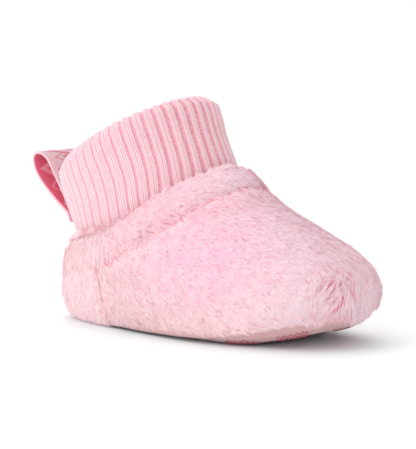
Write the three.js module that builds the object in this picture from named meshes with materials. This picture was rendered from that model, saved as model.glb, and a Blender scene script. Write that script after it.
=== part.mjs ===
// A baby's bootie slipper of plush fleece, with a rib-knit cuff, a soft rolled sole and a webbing loop at the heel.
// Millimetres. +X points to the toe, +Y to the left and +Z up. The origin is on the floor, under the heel's centre.
import * as THREE from 'three';

// The sole
const soleLength = 118;
const heelBehindOrigin = 21.5;
const soleBallWidth = 54;
const soleHeelWidth = 40;
const soleThickness = 2.2;
const soleFlatShare = 0.78;
const soleEdgeRoll = 1.5;
const toeSpring = 8;
const toeSpringLength = 40;

// The plush upper
const upperWall = 3.6;
const plushOverhang = 2.2;
const collarEdgeRound = 1.2;
const sideBulge = 9;
const seamDepth = 1.4;
const seamReach = 2.6;
const heelSeamAngle = 112;
const heelSeamSlant = 10;
const heelSeamReach = 4;
const heelSeamSpread = 30;

// The rib-knit cuff
const cuffLength = 64;
const cuffWidth = 50;
const cuffRiseFront = 28;
const cuffRiseBack = 25;
const cuffLean = 24.5;
const cuffCentreForward = 9;
const cuffCentreHeight = 42;
const cuffWall = 2.6;
const cuffTuck = 4;
const ribCount = 46;
const ribDepth = 0.9;

// The insole
const insoleThickness = 3;

// The webbing loop at the heel
const webbingWidth = 20;
const webbingThickness = 1.1;
const loopSeat = 0.41;
const loopTail = 3.5;
const loopRise = 21;
const loopBack = 12.5;
const loopBulge = 12.5;

// Pieces that touch on the real slipper are this far apart.
const gap = 0.3;

// How finely the round forms are cut
const sidesAround = 64;
const pointsPerRib = 4;
const soleStations = [0.32, 0.55, soleFlatShare, 0.86, 0.93];

const radians = (degrees) => degrees * Math.PI / 180;
const mix = (a, b, share) => a + (b - a) * share;
const smooth = (from, to, value) => THREE.MathUtils.smoothstep(value, from, to);

// A power that keeps the sign, for outlines squarer than an ellipse.
const squared = (value, power) => Math.sign(value) * Math.abs(value) ** power;

// Reads a table of sections at an angle from the toe, 0, round either side to the heel, 180.
function readSections(table, angle, column) {
  const folded = Math.abs(((angle + 180) % 360 + 360) % 360 - 180);
  const last = table.length - 1;
  let i = 0;
  while (i < last - 1 && folded > table[i + 1].angle) i += 1;
  const at = (index) => table[index < 0 ? -index : index > last ? 2 * last - index : index][column];
  const share = (folded - table[i].angle) / (table[i + 1].angle - table[i].angle);
  const [before, from, to, after] = [at(i - 1), at(i), at(i + 1), at(i + 2)];
  const slopeFrom = (to - before) / 2;
  const slopeTo = (after - from) / 2;
  const s2 = share * share;
  const s3 = s2 * share;
  return (2 * s3 - 3 * s2 + 1) * from + (s3 - 2 * s2 + share) * slopeFrom
    + (3 * s2 - 2 * s3) * to + (s3 - s2) * slopeTo;
}

// The sole's outline in plan: an oblong with round ends, narrower at the heel. Grow moves it outwards.
function soleOutline(angle, grow = 0) {
  const endPower = 0.86;
  const sidePower = 0.78;
  const [heelShare, ballShare] = [0.12, 0.72];
  const turn = radians(angle);
  const half = soleLength / 2 + grow;
  const middle = half - grow - heelBehindOrigin;
  const x = middle + half * squared(Math.cos(turn), endPower);
  const share = (x - middle + half) / (2 * half);
  const halfWidth = mix(soleHeelWidth, soleBallWidth, smooth(heelShare, ballShare, share)) / 2 + grow;
  return new THREE.Vector3(x, halfWidth * squared(Math.sin(turn), sidePower), 0);
}

// How far the sole's edge is rolled up from the toe round to the heel, as a share of the full roll.
const rollSections = [
  { angle: 0, roll: 1 },
  { angle: 90, roll: 1 },
  { angle: 180, roll: 0.35 },
];

// The sole's underside: flat under heel and ball, turned up at its rolled edge and at the toe.
function soleUnderside(angle, x, towardsEdge) {
  const toe = soleLength - heelBehindOrigin;
  const spring = Math.max(0, (x - toe + toeSpringLength) / toeSpringLength);
  const roll = soleEdgeRoll * readSections(rollSections, angle, 'roll');
  return toeSpring * spring ** 2 + roll * smooth(soleFlatShare, 1, towardsEdge) ** 2;
}

// The cuff's frame: its axis leans back over the heel, and its rings stand square to the axis.
const cuffAxis = new THREE.Vector3(-Math.sin(radians(cuffLean)), 0, Math.cos(radians(cuffLean)));
const cuffForward = new THREE.Vector3(Math.cos(radians(cuffLean)), 0, Math.sin(radians(cuffLean)));
const cuffCentre = new THREE.Vector3(cuffCentreForward, 0, cuffCentreHeight);

// How far each ring of the cuff stands out from its ring at the seam, as a share of the cuff's length.
const cuffRings = [
  { along: -0.4, out: -0.015 },
  { along: 0, out: 0.01 },
  { along: 0.45, out: 0.008 },
  { along: 0.7, out: 0.01 },
  { along: 0.88, out: 0.003 },
  { along: 1, out: -0.033 },
];

// A point of the cuff's smooth form at an angle from its front. Along runs from the seam, 0, to the rim, 1.
function cuffPoint(angle, along, outwards = 0) {
  const last = cuffRings.length - 1;
  let i = 0;
  while (i < last - 1 && along > cuffRings[i + 1].along) i += 1;
  const share = smooth(cuffRings[i].along, cuffRings[i + 1].along, along);
  const out = mix(cuffRings[i].out, cuffRings[i + 1].out, share) * cuffLength + outwards;
  const turn = radians(angle);
  const rise = mix(cuffRiseBack, cuffRiseFront, (1 + Math.cos(turn)) / 2);
  return cuffCentre.clone()
    .addScaledVector(cuffAxis, along * rise)
    .addScaledVector(cuffForward, (cuffLength / 2 + out) * Math.cos(turn))
    .add(new THREE.Vector3(0, (cuffWidth / 2 + out) * Math.sin(turn), 0));
}

// How far the plush edge dips below the cuff's straight seam ring, as a share of the cuff's rise.
const collarSections = [
  { angle: 0, dip: 0.03 },
  { angle: 40, dip: 0.09 },
  { angle: 90, dip: 0.24 },
  { angle: 125, dip: 0.12 },
  { angle: 180, dip: 0.1 },
];

const collarAlong = (angle) => -readSections(collarSections, angle, 'dip');

// The upper's sections from the toe round to the heel. Each is a curve from the sole's edge to the cuff.
// Out and lean are shares of the side's bulge, rise and drop of the section's height, shift of its reach.
const upperSections = [
  { angle: 0, out: 1.05, rise: 0.5, shift: 0.33, lean: 0, drop: 0.46 },
  { angle: 40, out: 1.15, rise: 0.44, shift: 0.26, lean: 0.1, drop: 0.4 },
  { angle: 90, out: 0.7, rise: 0.35, shift: 0.15, lean: 0.15, drop: 0.27 },
  { angle: 125, out: 0.85, rise: 0.2, shift: 0.3, lean: 0.45, drop: 0.04 },
  { angle: 180, out: 1.2, rise: 0.04, shift: 0.15, lean: 0.65, drop: 0.2 },
];

const upperBase = (angle, x) => soleUnderside(angle, x, 1) + soleThickness + gap;

// How far the plush hangs down outside the sole's edge, as a share of the way to the sole's underside.
const hangSections = [
  { angle: 0, hang: 0 },
  { angle: 45, hang: 0 },
  { angle: 90, hang: 0.75 },
  { angle: 125, hang: 0.9 },
  { angle: 180, hang: 0.9 },
];

const upperFoot = (angle, x) => upperBase(angle, x)
  - readSections(hangSections, angle, 'hang') * (upperBase(angle, x) - soleUnderside(angle, x, soleFlatShare));

// A point of the upper's smooth outer form. Up runs from the sole's edge, 0, to the cuff's seam, 1.
function upperPoint(angle, up) {
  const foot = soleOutline(angle, plushOverhang);
  foot.z = upperFoot(angle, foot.x);
  const top = cuffPoint(angle, collarAlong(angle), ribDepth + gap + upperWall);
  const footOut = soleOutline(angle, plushOverhang + 1).sub(soleOutline(angle, plushOverhang)).normalize();
  const topOut = new THREE.Vector3(Math.cos(radians(angle)), Math.sin(radians(angle)), 0);
  const height = top.z - foot.z;
  const read = (column) => readSections(upperSections, angle, column);
  const low = foot.clone()
    .addScaledVector(footOut, read('out') * sideBulge)
    .add(new THREE.Vector3(0, 0, read('rise') * height));
  const high = top.clone()
    .add(foot.clone().sub(top).setZ(0).multiplyScalar(read('shift')))
    .addScaledVector(topOut, read('lean') * sideBulge)
    .add(new THREE.Vector3(0, 0, -read('drop') * height));
  return new THREE.CubicBezierCurve3(foot, low, high, top).getPoint(up);
}

// The way out of the upper's smooth form at a point.
function upperNormal(angle, up) {
  const step = 0.01;
  const low = Math.max(0, up - step);
  const high = Math.min(1, up + step);
  const around = upperPoint(angle + 1, up).sub(upperPoint(angle - 1, up));
  const upwards = upperPoint(angle, high).sub(upperPoint(angle, low));
  return around.cross(upwards).normalize();
}

// How far up the section the seam between the vamp and the heel-and-collar panel runs.
const seamSections = [
  { angle: 0, up: 0.9 },
  { angle: 40, up: 0.87 },
  { angle: 90, up: 0.75 },
  { angle: 112, up: 0.62 },
  { angle: 140, up: 0.6 },
  { angle: 180, up: 0.62 },
];

// The faces of a cap over a flat-lying ring of points, turned to face up.
function capFaces(ring) {
  const flat = ring.map((point) => new THREE.Vector2(point.x, point.y));
  return THREE.ShapeUtils.triangulateShape(flat, []);
}

// A body from its points and faces, with the faces turned outwards.
function body(points, faces) {
  const volume = faces.reduce((sum, [a, b, c]) => sum + points[a].dot(points[b].clone().cross(points[c])), 0);
  const outwards = volume > 0 ? faces : faces.map(([a, b, c]) => [a, c, b]);
  const geometry = new THREE.BufferGeometry().setFromPoints(points);
  geometry.setIndex(outwards.flat());
  geometry.computeVertexNormals();
  return geometry;
}

// The quads between closed rings of equal length, split in triangles.
function quadFaces(rings, ringCount) {
  const count = rings[0].length;
  const faces = [];
  for (let r = 0; r < ringCount; r += 1) {
    const low = r * count;
    const high = ((r + 1) % rings.length) * count;
    for (let i = 0; i < count; i += 1) {
      const j = (i + 1) % count;
      faces.push([low + i, low + j, high + j], [low + i, high + j, high + i]);
    }
  }
  return faces;
}

// A wall closed on itself: its last ring joins the first.
const wallBody = (rings) => body(rings.flat(), quadFaces(rings, rings.length));

// A slab: its first and last rings are capped.
function slabBody(rings) {
  const last = (rings.length - 1) * rings[0].length;
  const faces = quadFaces(rings, rings.length - 1);
  for (const [a, b, c] of capFaces(rings[0])) faces.push([a, c, b]);
  for (const [a, b, c] of capFaces(rings.at(-1))) faces.push([last + a, last + b, last + c]);
  return body(rings.flat(), faces);
}

// Angles round the shoe, with one on each heel seam and one close on either side of it.
function upperAngles() {
  const angles = [];
  const step = 360 / sidesAround;
  const seams = [heelSeamAngle, 360 - heelSeamAngle];
  for (let i = 0; i < sidesAround; i += 1) {
    if (seams.every((seam) => Math.abs(i * step - seam) > heelSeamReach + step / 4)) angles.push(i * step);
  }
  for (const seam of seams) angles.push(seam - heelSeamReach, seam, seam + heelSeamReach);
  return angles.sort((a, b) => a - b);
}

// A column's angle at a height, 0 at the foot and 1 at the seam above: those near a heel seam slant with it.
function slanted(angle, height) {
  const side = angle > 180 ? -1 : 1;
  const folded = angle > 180 ? 360 - angle : angle;
  const near = 1 - smooth(0, heelSeamSpread, Math.abs(folded - heelSeamAngle));
  return angle + side * heelSeamSlant * (0.5 - Math.min(1, height)) * near;
}

// The upper, one hollow wall with its two seams as troughs, open at the cuff and underneath.
function upperGeometry() {
  const angles = upperAngles();
  const lowRows = [0, 0.05, 0.13, 0.24, 0.38, 0.54, 0.7, 0.86, 1];
  const highRows = [0, 0.4, 0.75];
  const isHeelPanel = (angle) => angle > heelSeamAngle && angle < 360 - heelSeamAngle;
  const onHeelSeam = (angle) => angle === heelSeamAngle || angle === 360 - heelSeamAngle;
  const seamUp = (angle) => readSections(seamSections, angle, 'up');
  const reach = (angle) => seamReach / upperPoint(angle, 0).distanceTo(upperPoint(angle, 1));
  const wall = (angle, up, depth) => {
    const turned = slanted(angle, up / seamUp(angle));
    return upperPoint(turned, up).addScaledVector(upperNormal(turned, up), -depth);
  };
  const collar = (angle, lower, outwards) => {
    const turned = slanted(angle, 1);
    return cuffPoint(turned, collarAlong(turned) - lower / cuffRiseBack, ribDepth + gap + outwards);
  };
  const foot = (angle, grow, heightAt) => {
    const turned = slanted(angle, 0);
    const point = soleOutline(turned, grow);
    return point.setZ(heightAt(turned, point.x));
  };
  const rings = [];
  const addRing = (pointAt) => rings.push(angles.map(pointAt));
  for (const row of lowRows) {
    addRing((angle) => {
      const dent = onHeelSeam(angle) ? seamDepth * smooth(0, 0.2, row) : 0;
      return wall(angle, row * (seamUp(angle) - reach(angle)), dent);
    });
  }
  addRing((angle) => wall(angle, seamUp(angle), seamDepth * (isHeelPanel(angle) ? 0.5 : 1)));
  for (const row of highRows) addRing((angle) => wall(angle, mix(seamUp(angle) + reach(angle), 1, row), 0));
  addRing((angle) => collar(angle, collarEdgeRound * 0.3, upperWall - collarEdgeRound * 0.3));
  addRing((angle) => collar(angle, 0, collarEdgeRound));
  addRing((angle) => collar(angle, collarEdgeRound, 0));
  addRing((angle) => collar(angle, cuffTuck, 0));
  for (const up of [0.78, 0.62, 0.45, 0.3, 0.16]) addRing((angle) => wall(angle, up, upperWall));
  addRing((angle) => foot(angle, plushOverhang - upperWall, upperBase));
  addRing((angle) => foot(angle, gap, upperBase));
  addRing((angle) => foot(angle, gap, upperFoot));
  return wallBody(rings);
}

// A ring of points over the sole's plan, at a share of the way from its middle to its edge.
function soleRing(towardsEdge, lift, grow = 0) {
  const middle = soleLength / 2 - heelBehindOrigin;
  return Array.from({ length: sidesAround }, (_, i) => {
    const angle = i * 360 / sidesAround;
    const rim = soleOutline(angle);
    const edge = soleOutline(angle, grow);
    const x = mix(middle, edge.x, towardsEdge);
    const y = edge.y * towardsEdge;
    const reach = Math.hypot(x - middle, y) / Math.hypot(rim.x - middle, rim.y);
    return new THREE.Vector3(x, y, soleUnderside(angle, x, reach) + lift);
  });
}

// The soft sole: a thin skin, flat in the middle, with its edge rolled up under the plush.
function soleGeometry() {
  const under = soleStations.map((share) => soleRing(share, 0));
  const top = soleStations.map((share) => soleRing(share, soleThickness)).reverse();
  return slabBody([...under, soleRing(1, soleThickness * 0.3), soleRing(1, soleThickness), ...top]);
}

// The padded insole, inside the upper and on the sole.
function insoleGeometry() {
  const inset = plushOverhang - upperWall - gap;
  const floor = soleThickness + gap;
  const under = soleStations.map((share) => soleRing(share, floor));
  const top = soleStations.map((share) => soleRing(share, floor + insoleThickness)).reverse();
  const edge = [0, 0.7].map((share) => soleRing(1, floor + insoleThickness * share, inset));
  return slabBody([...under, ...edge, ...top]);
}

// The rib-knit cuff, folded at its rim, with its ribs raised inside and out and its hem tucked in the upper.
function cuffGeometry() {
  const count = ribCount * pointsPerRib;
  const profile = [0, 1, 1, 0];
  const ring = (share, outwards, ribs) => Array.from({ length: count }, (_, i) => {
    const angle = i * 360 / count;
    const rib = profile[i % pointsPerRib] * ribs;
    return cuffPoint(angle, mix(collarAlong(angle), 1, share), outwards + rib);
  });
  const hem = -cuffTuck / cuffRiseBack;
  const outer = [hem, 0, 0.3, 0.6, 0.88].map((along) => ring(along, 0, ribDepth));
  const wallIn = -cuffWall;
  const rim = [
    ring(0.97, 0, ribDepth * 0.8),
    ring(1, -cuffWall * 0.2, ribDepth * 0.5),
    ring(1, -cuffWall * 0.8, -ribDepth * 0.3),
    ring(0.97, wallIn, -ribDepth * 0.5),
  ];
  const inner = [0.88, 0.5, 0.1, hem].map((along) => ring(along, wallIn, -ribDepth * 0.6));
  return wallBody([...outer, ...rim, ...inner]);
}

// The webbing loop: one strip sewn down on the cuff's back at both ends, that stands up and back as a teardrop.
function loopGeometry() {
  const steps = 9;
  const across = [-1, -0.5, 0, 0.5, 1];
  const onBack = (along, out, y = 0) => {
    const halfWidth = cuffPoint(90, along, out).y;
    return cuffPoint(180 - THREE.MathUtils.radToDeg(Math.asin(y / halfWidth)), along, out);
  };
  const standOff = ribDepth + gap + webbingThickness / 2;
  const secondLayer = standOff + webbingThickness + gap;
  const tailFoot = loopSeat - loopTail / cuffRiseBack;
  const start = onBack(loopSeat, standOff);
  const end = onBack(loopSeat, secondLayer);
  const away = (forwards, upwards) => new THREE.Vector3(-forwards, 0, upwards);
  const crown = start.clone().add(away(loopBack, loopRise));
  const front = new THREE.CubicBezierCurve3(
    start,
    start.clone().addScaledVector(cuffAxis, loopRise * 0.55),
    crown.clone().add(away(-loopBulge * 0.45, -loopRise * 0.05)),
    crown,
  );
  const back = new THREE.CubicBezierCurve3(
    crown,
    crown.clone().add(away(loopBulge * 0.7, loopRise * 0.06)),
    end.clone().add(away(loopBack * 0.9, loopRise * 0.36)),
    end,
  );
  const path = [
    { at: onBack(tailFoot, standOff), hug: 1 },
    { at: start, hug: 1 },
    ...front.getPoints(steps).slice(1).map((at, i) => ({ at, hug: 1 - smooth(0, 0.6, (i + 1) / steps) })),
    ...back.getPoints(steps).slice(1).map((at, i) => ({ at, hug: smooth(0.4, 1, (i + 1) / steps) })),
    { at: onBack(tailFoot, secondLayer), hug: 1 },
  ];
  const half = webbingThickness / 2;
  const rings = path.map(({ at, hug }, i) => {
    const before = path[Math.max(0, i - 1)].at;
    const after = path[Math.min(path.length - 1, i + 1)].at;
    const out = new THREE.Vector3(0, 1, 0).cross(after.clone().sub(before)).normalize();
    const edge = (share, through) => {
      const y = share * webbingWidth / 2;
      const wrap = onBack(loopSeat, standOff, y).sub(start).setY(0).multiplyScalar(hug);
      return at.clone().add(wrap).setY(y).addScaledVector(out, through * half);
    };
    return [...across.map((share) => edge(share, 1)), ...across.toReversed().map((share) => edge(share, -1))];
  });
  return stripBody(rings);
}

// A strip over sections that are too thin to cap as a whole: its ends are closed with quads.
function stripBody(rings) {
  const count = rings[0].length;
  const faces = quadFaces(rings, rings.length - 1);
  const last = (rings.length - 1) * count;
  for (let i = 0; i < count / 2 - 1; i += 1) {
    const [a, b, c, d] = [i, i + 1, count - 2 - i, count - 1 - i];
    faces.push([a, c, b], [a, d, c], [last + a, last + b, last + c], [last + a, last + c, last + d]);
  }
  return body(rings.flat(), faces);
}

const finish = (color, roughness) => new THREE.MeshStandardMaterial({ color, roughness, metalness: 0 });

function named(name, geometry, material) {
  const mesh = new THREE.Mesh(geometry, material);
  mesh.name = name;
  return mesh;
}

const bootie = new THREE.Group();
bootie.add(
  named('outsole', soleGeometry(), finish(0xd9a5a0, 0.9)),
  named('insole', insoleGeometry(), finish(0xf3d3da, 0.95)),
  named('upper', upperGeometry(), finish(0xf8cdd9, 0.95)),
  named('cuff', cuffGeometry(), finish(0xfbd6de, 0.9)),
  named('pull_loop', loopGeometry(), finish(0xe8b4c2, 0.8)),
);

export default bootie;
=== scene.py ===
# A baby's bootie slipper in pink plush with a rib-knit cuff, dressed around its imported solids.
# Sizes are in millimetres, as in the part's source, and go to metres when a mesh is made.
import math

import bmesh
import bpy
import numpy as np
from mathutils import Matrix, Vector, kdtree, noise


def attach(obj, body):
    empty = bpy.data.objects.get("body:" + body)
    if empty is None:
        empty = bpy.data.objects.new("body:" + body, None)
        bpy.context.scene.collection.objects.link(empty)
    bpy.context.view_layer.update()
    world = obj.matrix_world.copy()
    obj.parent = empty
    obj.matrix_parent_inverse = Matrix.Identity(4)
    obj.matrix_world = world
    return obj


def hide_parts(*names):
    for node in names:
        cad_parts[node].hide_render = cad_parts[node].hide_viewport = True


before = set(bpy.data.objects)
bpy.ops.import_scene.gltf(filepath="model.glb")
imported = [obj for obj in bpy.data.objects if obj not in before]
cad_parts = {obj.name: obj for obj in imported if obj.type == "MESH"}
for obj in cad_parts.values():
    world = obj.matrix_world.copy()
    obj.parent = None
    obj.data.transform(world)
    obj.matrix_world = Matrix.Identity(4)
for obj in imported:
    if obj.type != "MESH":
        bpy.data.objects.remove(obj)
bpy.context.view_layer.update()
mm = 0.001


# Small helpers for shapes.

def smooth(low, high, value):
    share = np.clip((value - low) / (high - low), 0, 1)
    return share * share * (3 - 2 * share)


def mix(a, b, share):
    return a + (b - a) * share


def unit(vectors):
    return vectors / np.linalg.norm(vectors, axis=-1, keepdims=True)


def stack(x, y, z):
    return np.stack(np.broadcast_arrays(x, y, z), axis=-1).astype(float)


def times(vector, amounts):  # one vector at each of the amounts
    return np.asarray(amounts, float)[..., None] * np.asarray(vector, float)


def foldedFrom(angle):  # degrees from the toe, 0, round either side to the heel, 180
    return np.abs((np.asarray(angle, float) + 180) % 360 - 180)


def readSections(table, angle):  # a table of values at folded angles
    stops = np.array([row[0] for row in table], float)
    values = np.array([row[1] for row in table], float)
    folded = foldedFrom(angle)
    i = np.clip(np.searchsorted(stops, folded, side="left") - 1, 0, len(stops) - 2)
    padded = np.concatenate([[values[1]], values, [values[-2]]])
    before, start, end, after = padded[i], padded[i + 1], padded[i + 2], padded[i + 3]
    share = (folded - stops[i]) / (stops[i + 1] - stops[i])
    s2, s3 = share ** 2, share ** 3
    return ((2 * s3 - 3 * s2 + 1) * start + (s3 - 2 * s2 + share) * (end - before) / 2
            + (3 * s2 - 2 * s3) * end + (s3 - s2) * (after - start) / 2)


def skinFromRows(name, rows, closedAround=True, closedAlong=True):
    # A grid laid over rows of points, in mm, and closed on itself where asked.
    rows = np.asarray(rows, float) * mm
    if closedAround:
        rows = np.concatenate([rows, rows[:, :1]], axis=1)
    if closedAlong:
        rows = np.concatenate([rows, rows[:1]], axis=0)
    down, across = rows.shape[0] - 1, rows.shape[1] - 1
    bm = bmesh.new()
    bm.loops.layers.uv.new("UVMap")
    bmesh.ops.create_grid(bm, x_segments=across, y_segments=down, size=0.5, calc_uvs=True)
    for vert in bm.verts:
        i = round((vert.co.x + 0.5) * across)
        j = round((vert.co.y + 0.5) * down)
        vert.co = rows[j, i]
    bmesh.ops.remove_doubles(bm, verts=bm.verts, dist=0.00001)
    if closedAlong:
        bmesh.ops.recalc_face_normals(bm, faces=bm.faces)
    for face in bm.faces:
        face.smooth = True
    return objectFrom(name, bm)


def objectFrom(name, bm):
    mesh = bpy.data.meshes.new(name)
    bm.to_mesh(mesh)
    bm.free()
    made = bpy.data.objects.new(name, mesh)
    bpy.context.scene.collection.objects.link(made)
    return made


def meshFromArrays(name, points, corners, sizes, tones, finishes):
    # Many small shapes joined in one mesh: points in mm, corners of the faces one after another.
    mesh = bpy.data.meshes.new(name)
    mesh.vertices.add(len(points))
    mesh.vertices.foreach_set("co", (points * mm).astype(np.float32).ravel())
    mesh.loops.add(len(corners))
    mesh.loops.foreach_set("vertex_index", corners.astype(np.int32))
    mesh.polygons.add(len(sizes))
    mesh.polygons.foreach_set("loop_start", (np.cumsum(sizes) - sizes).astype(np.int32))
    mesh.polygons.foreach_set("material_index", tones.astype(np.int32))
    mesh.update(calc_edges=True)
    mesh.polygons.foreach_set("use_smooth", np.ones(len(sizes), bool))
    made = bpy.data.objects.new(name, mesh)
    bpy.context.scene.collection.objects.link(made)
    for finish in finishes:
        mesh.materials.append(finish.material)
    return made


def settle(piece, finishes=(), nodes=()):
    for finish in finishes:
        piece.data.materials.append(finish.material)
    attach(piece, "root")
    if nodes:
        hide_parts(*nodes)
    return piece


# Small helpers for finishes.

def colour(red, green, blue):  # a screen colour, 0 to 255, as the shader wants it
    def linear(value):
        share = value / 255
        return share / 12.92 if share <= 0.04045 else ((share + 0.055) / 1.055) ** 2.4
    return (linear(red), linear(green), linear(blue), 1.0)


class Wire:  # a socket's output that can be used in sums
    def __init__(self, finish, socket):
        self.finish = finish
        self.socket = socket

    def maths(self, operation, first, second=0.0):
        return self.finish.node("Math", {"operation": operation}, {0: first, 1: second})

    def __add__(self, other):
        return self.maths("ADD", self, other)

    def __radd__(self, other):
        return self.maths("ADD", other, self)

    def __sub__(self, other):
        return self.maths("SUBTRACT", self, other)

    def __rsub__(self, other):
        return self.maths("SUBTRACT", other, self)

    def __mul__(self, other):
        return self.maths("MULTIPLY", self, other)

    def __rmul__(self, other):
        return self.maths("MULTIPLY", other, self)

    def __abs__(self):
        return self.maths("ABSOLUTE", self)

    def sine(self):
        return self.maths("SINE", self)

    def fraction(self):
        return self.maths("FRACT", self)

    def atLeast(self, other):
        return self.maths("MAXIMUM", self, other)

    def under(self, limit, blur):  # 1 below the limit, 0 above it
        return self.finish.node("MapRange", {"interpolation_type": "SMOOTHSTEP"},
                                {0: self, 1: limit - blur, 2: limit + blur, 3: 1.0, 4: 0.0})


class Finish:  # a procedural material
    def __init__(self, name, **shader):
        self.material = bpy.data.materials.new(name)
        self.material.use_nodes = True
        self.tree = self.material.node_tree
        self.shader = self.tree.nodes["Principled BSDF"]
        for socket, value in shader.items():
            self.shader.inputs[socket.replace("_", " ")].default_value = value

    def node(self, kind, settings, sockets, output=0):
        made = self.tree.nodes.new("ShaderNode" + kind)
        for setting, value in settings.items():
            setattr(made, setting, value)
        for socket, value in sockets.items():
            self.feed(made.inputs[socket], value)
        return Wire(self, made.outputs[output])

    def feed(self, socket, value):
        if isinstance(value, Wire):
            self.tree.links.new(value.socket, socket)
        else:
            socket.default_value = value

    def place(self):
        return self.node("TexCoord", {}, {}, "Object")

    def uv(self):
        split = self.node("UVMap", {"uv_map": "UVMap"}, {})
        across = self.node("SeparateXYZ", {}, {0: split}, 0)
        along = self.node("SeparateXYZ", {}, {0: split}, 1)
        return across, along

    def grain(self, size, detail=2.0):  # noise with a grain of about this many mm
        return self.node("TexNoise", {}, {"Vector": self.place(), "Scale": 1 / (size * mm), "Detail": detail})

    def blend(self, share, first, second):
        return self.node("Mix", {"data_type": "RGBA"}, {0: share, 6: first, 7: second}, 2)

    def paint(self, shade):
        self.feed(self.shader.inputs["Base Color"], shade)

    def bump(self, height, depth):
        raised = self.node("Bump", {}, {"Height": height, "Distance": depth * mm, "Strength": 1.0})
        self.feed(self.shader.inputs["Normal"], raised)


# Camera, light and floor.

view = {"azimuth": 40.5, "elevation": 6.3, "target": (0.038, 0, 0.035), "distance": 0.9,
        "pixelsPerMm": 2.9, "asideMm": -4.6, "upMm": 1.9, "sensor": 36, "pictureHeight": 449}
turn, tilt = math.radians(view["azimuth"]), math.radians(view["elevation"])
towardsCamera = Vector((math.sin(turn) * math.cos(tilt), -math.cos(turn) * math.cos(tilt), math.sin(tilt)))
cameraRight = Vector((math.cos(turn), math.sin(turn), 0))
cameraUp = towardsCamera.cross(cameraRight)
aim = Vector(view["target"]) + cameraRight * view["asideMm"] * mm + cameraUp * view["upMm"] * mm
camera = bpy.data.objects.new("camera", bpy.data.cameras.new("camera"))
camera.data.sensor_width = view["sensor"]
camera.data.lens = view["pixelsPerMm"] * view["distance"] / mm * view["sensor"] / view["pictureHeight"]
camera.location = aim + towardsCamera * view["distance"]
camera.rotation_mode = "QUATERNION"
camera.rotation_quaternion = (-towardsCamera).to_track_quat("-Z", "Y")
bpy.context.scene.collection.objects.link(camera)
bpy.context.scene.camera = camera
bpy.context.scene.view_settings.view_transform = "Standard"

studio = {"sky": 1.14, "shadedSide": 0.5,
          "lamps": [("key", (-0.35, -0.75, 0.7), 0.7, 1.8), ("back", (-0.5, 0.6, 0.8), 0.7, 1.2)]}
world = bpy.data.worlds.new("studio")
world.use_nodes = True
sky = world.node_tree
around = sky.nodes.new("ShaderNodeTexCoord")
toTheRight = sky.nodes.new("ShaderNodeVectorMath")
toTheRight.operation = "DOT_PRODUCT"
toTheRight.inputs[1].default_value = cameraRight
fade = sky.nodes.new("ShaderNodeMapRange")
fade.interpolation_type = "SMOOTHSTEP"
for socket, value in zip(fade.inputs[1:], (0.15, 0.95, studio["sky"], studio["shadedSide"])):
    socket.default_value = value
sky.links.new(around.outputs["Generated"], toTheRight.inputs[0])
sky.links.new(toTheRight.outputs["Value"], fade.inputs["Value"])
sky.links.new(fade.outputs["Result"], sky.nodes["Background"].inputs["Strength"])
sky.nodes["Background"].inputs["Color"].default_value = (1, 1, 1, 1)
bpy.context.scene.world = world
for lampName, spot, size, power in studio["lamps"]:
    lamp = bpy.data.objects.new(lampName, bpy.data.lights.new(lampName, "AREA"))
    lamp.data.size = size
    lamp.data.energy = power
    lamp.location = spot
    lamp.rotation_mode = "QUATERNION"
    lamp.rotation_quaternion = (Vector(view["target"]) - Vector(spot)).to_track_quat("-Z", "Y")
    bpy.context.scene.collection.objects.link(lamp)

# The floor is painted a little cooler beneath the shoe: a painted tint in its shadow that takes out the pink
# light gathering there.
paintedShadowTint = {"middle": 0.04, "alongScale": 16, "acrossScale": 30, "limit": 0.9, "blur": 0.7}
floorFinish = Finish("paleFloor", Roughness=0.9)
alongFloor = floorFinish.node("SeparateXYZ", {}, {0: floorFinish.place()}, 0)
acrossFloor = floorFinish.node("SeparateXYZ", {}, {0: floorFinish.place()}, 1)
alongShoe = (alongFloor - paintedShadowTint["middle"]) * paintedShadowTint["alongScale"]
acrossShoe = acrossFloor * paintedShadowTint["acrossScale"]
reachSquared = alongShoe * alongShoe + acrossShoe * acrossShoe
inPaintedShadowTint = reachSquared.under(paintedShadowTint["limit"], paintedShadowTint["blur"])
bareFloor = floorFinish.blend(floorFinish.grain(40), colour(250, 252, 252), colour(253, 255, 255))
floorFinish.paint(floorFinish.blend(inPaintedShadowTint, bareFloor, colour(226, 246, 245)))
bm = bmesh.new()
bmesh.ops.create_grid(bm, x_segments=2, y_segments=2, size=6)
floor = objectFrom("floor", bm)
floor.data.materials.append(floorFinish.material)
print("camera, light and floor")


# The shoe's form, as in the part's source.

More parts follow.
